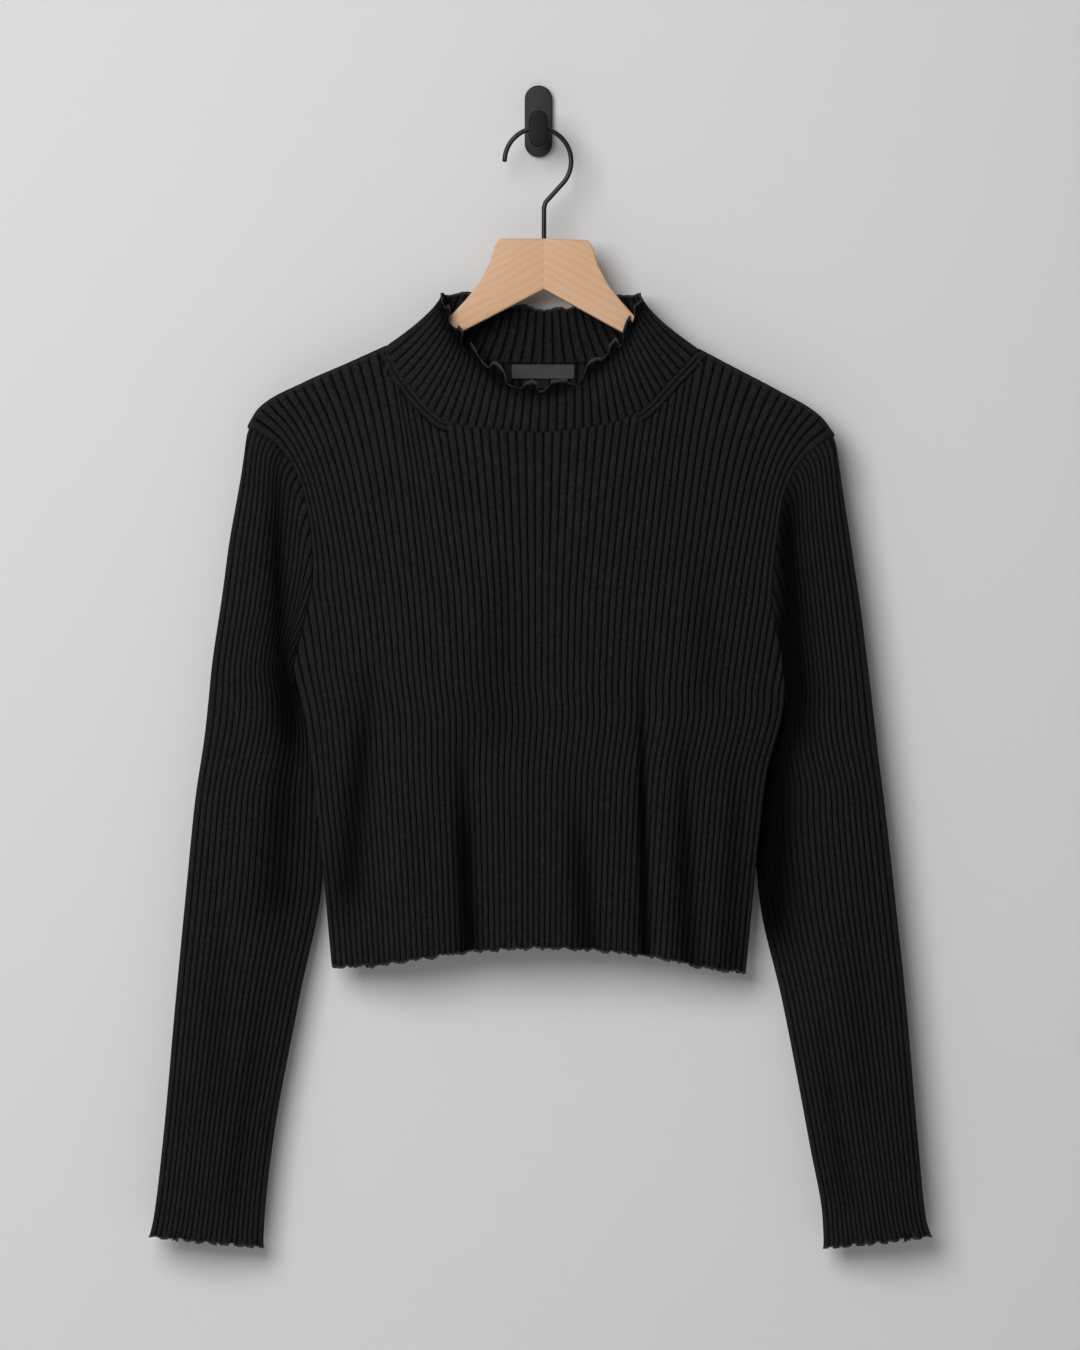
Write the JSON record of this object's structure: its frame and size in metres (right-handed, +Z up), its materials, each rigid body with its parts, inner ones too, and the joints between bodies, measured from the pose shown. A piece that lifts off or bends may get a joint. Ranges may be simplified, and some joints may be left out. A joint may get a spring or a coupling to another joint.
{
  "type": "ribbed crop top on a hanger",
  "caption": "Black rib-knit crop top with long sleeves, a mock neck and waving lettuce edges, on a pale wooden hanger hung from a black wall hook",
  "frame": {"origin": "centre of the wall plate's back face, in the plane of the wall", "axes": "+X to the right seen from the room, +Y into the wall, +Z up"},
  "size_m": [0.5643, 0.0541, 0.8417],
  "materials": {
    "rib_knit": "soft matt",
    "woven_label": "satin",
    "maple": "satin",
    "black_wire": "semi-gloss",
    "matt_black": "matt"
  },
  "bodies": {
    "root": {"front": "rib_knit", "back": "rib_knit", "sleeve_left": "rib_knit", "sleeve_right": "rib_knit", "collar": "rib_knit", "neck_label": "woven_label", "size_label": "woven_label", "hanger_left": "maple", "hanger_right": "maple", "hanger_hook": "black_wire", "wall_plate": "matt_black", "wall_stem": "matt_black", "wall_knob": "matt_black"}
  },
  "joints": []
}
